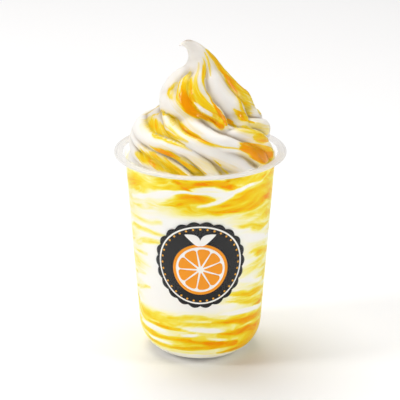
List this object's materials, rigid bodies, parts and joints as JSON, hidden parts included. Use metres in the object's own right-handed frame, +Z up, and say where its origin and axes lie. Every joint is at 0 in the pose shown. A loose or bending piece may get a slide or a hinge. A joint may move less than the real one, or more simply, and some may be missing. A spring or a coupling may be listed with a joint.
{
  "type": "sundae cup",
  "caption": "Clear U-shaped plastic cup with a wide rim, filled with vanilla soft serve rippled with orange fruit sauce and topped with a tall pulled swirl.",
  "frame": {"origin": "middle of the cup's foot, on the surface that it stands on", "axes": "+Z up along the cup's axis; -Y is the front, the side that the picture shows; the tip of the swirl curls towards -X"},
  "size_m": [0.095, 0.095, 0.1794],
  "materials": {
    "clear_plastic": "clear, glossy, thin-walled thermoformed plastic",
    "soft_serve": "creamy soft serve with streaks of glossy yellow and orange sauce; stands for food"
  },
  "bodies": {
    "root": {"cup": "clear_plastic", "soft_serve": "soft_serve"}
  },
  "joints": []
}
